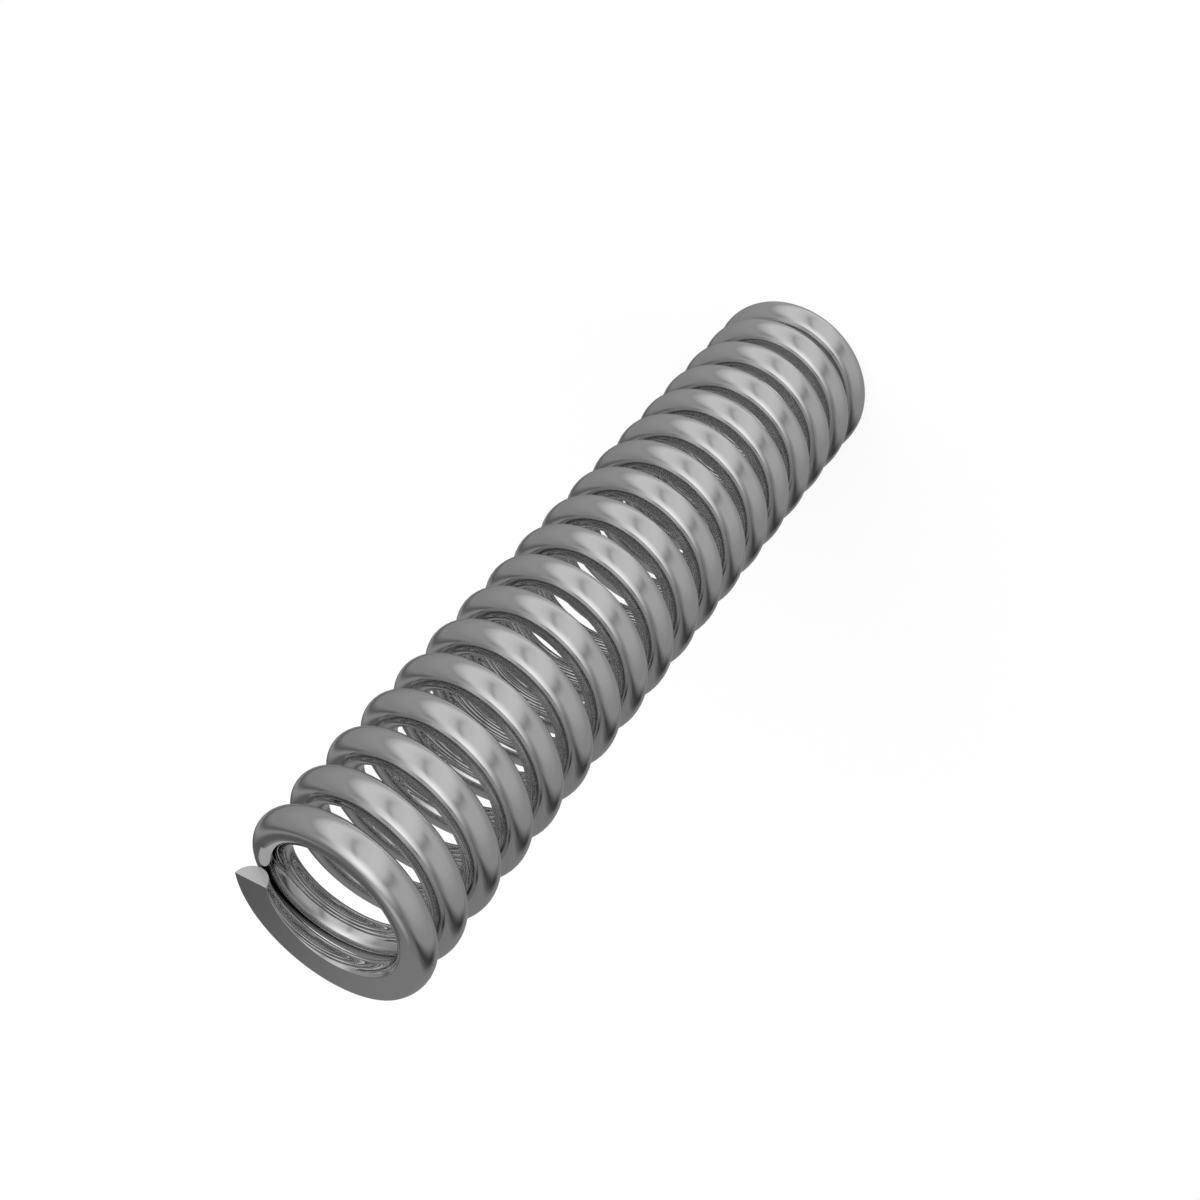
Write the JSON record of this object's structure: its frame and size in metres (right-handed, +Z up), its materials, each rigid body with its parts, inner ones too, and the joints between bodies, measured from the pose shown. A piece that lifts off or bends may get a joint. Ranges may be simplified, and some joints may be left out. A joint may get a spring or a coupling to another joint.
{
  "type": "compression spring",
  "caption": "Slim compression spring of round steel wire, with closed and ground ends that stand flat, for pushing back against a load over a rod or in a bore.",
  "frame": {"origin": "centre of the lower ground end, on the coil axis", "axes": "+Z up the coil axis to the upper ground end; the tip of the wire at the upper end lies on +X"},
  "size_m": [0.0114, 0.0114, 0.0539],
  "materials": {
    "spring_steel": "bare drawn wire, satin bright"
  },
  "bodies": {
    "root": {"spring": "spring_steel"}
  },
  "joints": []
}
